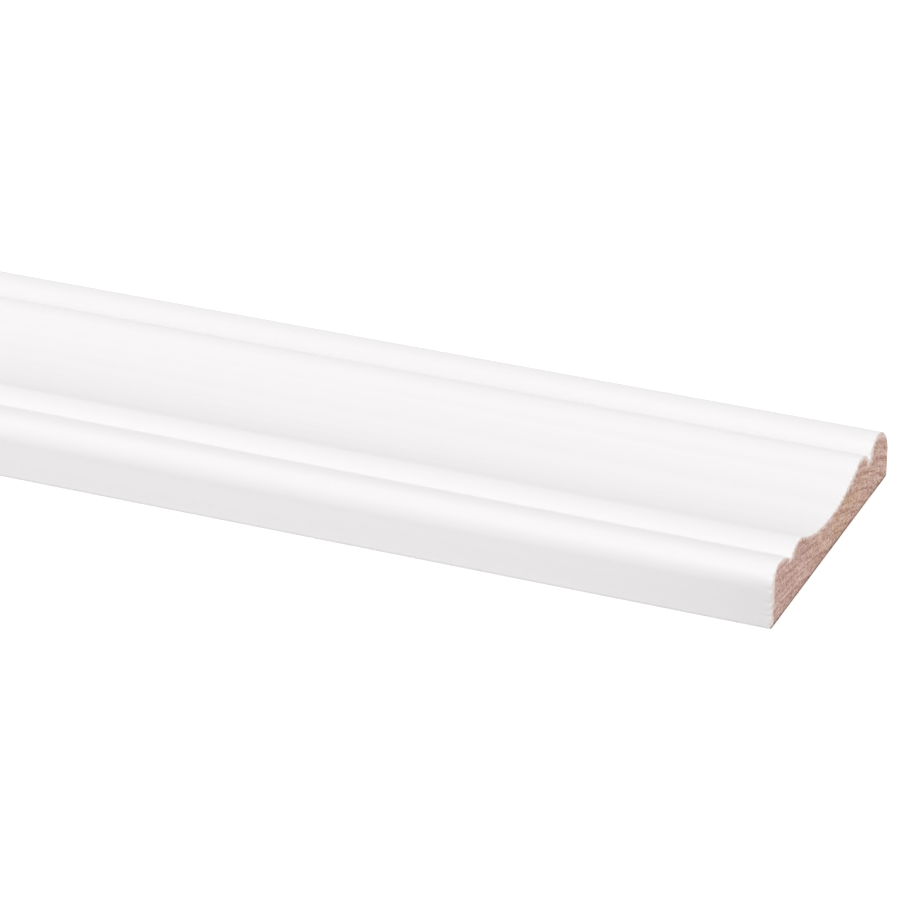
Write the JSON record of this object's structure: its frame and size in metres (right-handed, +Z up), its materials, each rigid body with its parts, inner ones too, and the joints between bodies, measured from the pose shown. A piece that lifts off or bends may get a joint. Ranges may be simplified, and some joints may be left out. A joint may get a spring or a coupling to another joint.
{
  "type": "decorative moulding",
  "caption": "Straight length of white-painted pine moulding with a flat back, a rounded nosing, a wide shallow cove and a rounded bead, planted on walls or joinery as trim.",
  "frame": {"origin": "on the flat back, under the middle of the length and of the width", "axes": "+X along the length, +Y from the nosing edge to the bead edge, +Z up out of the moulded face"},
  "size_m": [2.4, 0.07, 0.012],
  "materials": {
    "painted_pine": "pine with an eggshell white sprayed paint on the moulded face and edges; bare wood at the sawn ends and on the flat back"
  },
  "bodies": {
    "root": {"moulding": "painted_pine"}
  },
  "joints": []
}
